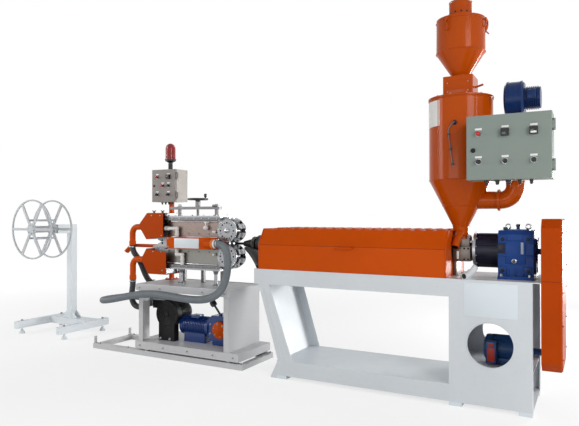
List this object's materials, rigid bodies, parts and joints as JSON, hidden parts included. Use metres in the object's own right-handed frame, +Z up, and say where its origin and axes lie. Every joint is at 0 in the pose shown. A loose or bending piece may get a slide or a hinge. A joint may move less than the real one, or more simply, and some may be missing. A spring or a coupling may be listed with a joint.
{
  "type": "corrugated hose extrusion line",
  "caption": "Small plastics line that extrudes, corrugates and winds hose: extruder with drying hopper and control cabinet, mould-chain corrugator on floor rails, and a reel winder.",
  "frame": {"origin": "on the floor, at the middle of the whole line's length and depth", "axes": "+X along the extrusion axis from the winder to the gearbox, +Y to the back, +Z up; the operator stands at -Y"},
  "size_m": [5.128, 0.866, 2.695],
  "materials": {
    "white_paint": "satin",
    "orange_paint": "gloss",
    "blue_paint": "gloss",
    "dark_blue_paint": "gloss",
    "cabinet_paint": "satin",
    "bright_steel": "brushed",
    "tool_aluminium": "satin",
    "heater_steel": "dark",
    "black_plastic": "matt",
    "red_lens": "gloss",
    "black_paint": "satin",
    "white_plastic": "gloss",
    "foot_rubber": "matt",
    "grey_hose": "matt",
    "dark_hose": "matt"
  },
  "bodies": {
    "line": {"barrel": "heater_steel", "barrel_cover": "orange_paint", "belt_guard": "orange_paint", "cabinet_arms": "cabinet_paint", "control_cabinet": "cabinet_paint", "die_head": "heater_steel", "dryer_blower": "blue_paint", "dryer_duct": "orange_paint", "drying_hopper": "orange_paint", "extruder_feet": "foot_rubber", "feed_block": "bright_steel", "floor_rails": "white_paint", "gate_box": "orange_paint", "gearbox": "blue_paint", "gearbox_eyebolts": "bright_steel", "gearbox_lantern": "dark_blue_paint", "hopper_lid": "orange_paint", "hopper_neck": "orange_paint", "inclined_leg": "white_paint", "loader_lid": "orange_paint", "lower_beam": "white_paint", "main_motor": "blue_paint", "pedestal_back": "white_paint", "pedestal_body": "white_paint", "pedestal_front": "white_paint", "upper_beam": "white_paint", "vacuum_loader": "orange_paint", "winder_base": "white_paint", "winder_post": "white_paint"},
    "cabinet_door": {"control_cabinet_door": "cabinet_paint", "cabinet_instruments": "black_plastic"},
    "operator_door": {"operator_box_door": "cabinet_paint", "operator_instruments": "black_plastic"},
    "handwheel": {"handwheel": "black_plastic"},
    "reel": {"reel_core": "white_paint", "reel_front_rim": "white_paint", "reel_rear_rim": "white_paint"},
    "corrugator": {"corrugator_tray": "white_paint", "corrugator_stand": "white_paint", "corrugator_table": "white_paint", "lower_track": "tool_aluminium", "upper_track": "tool_aluminium", "lower_mould_chain": "tool_aluminium", "upper_mould_chain": "tool_aluminium", "sprocket_discs": "bright_steel", "lower_end_cover": "orange_paint", "upper_end_cover": "orange_paint", "air_ducts": "orange_paint", "air_manifold": "orange_paint", "lift_frame": "bright_steel", "control_post": "orange_paint", "operator_box": "cabinet_paint", "beacon_base": "black_plastic", "beacon_dome": "red_lens", "water_pipes": "white_plastic", "air_blower": "black_paint", "chain_drive": "blue_paint", "vacuum_hose": "grey_hose", "lower_air_hose": "dark_hose", "upper_air_hose": "dark_hose"}
  },
  "joints": [
    {"name": "corrugator_travel", "type": "slide", "parent": "line", "child": "corrugator", "axis": [-1, 0, 0], "range_m": [0, 0.45]},
    {"name": "cabinet_door_swing", "type": "hinge", "parent": "line", "child": "cabinet_door", "pos_m": [2.53, -0.3955, 1.636], "axis": [0, 0, 1], "range_deg": [0, 105]},
    {"name": "operator_door_swing", "type": "hinge", "parent": "corrugator", "child": "operator_door", "pos_m": [-0.627, 0.0645, 1.502], "axis": [0, 0, 1], "range_deg": [0, 105]},
    {"name": "handwheel_turn", "type": "hinge", "parent": "corrugator", "child": "handwheel", "pos_m": [-0.339, -0.007, 1.357], "axis": [0, 0, 1], "continuous": true},
    {"name": "reel_spin", "type": "hinge", "parent": "line", "child": "reel", "pos_m": [-2.251, -0.11, 1.087], "axis": [0, 1, 0], "continuous": true}
  ]
}
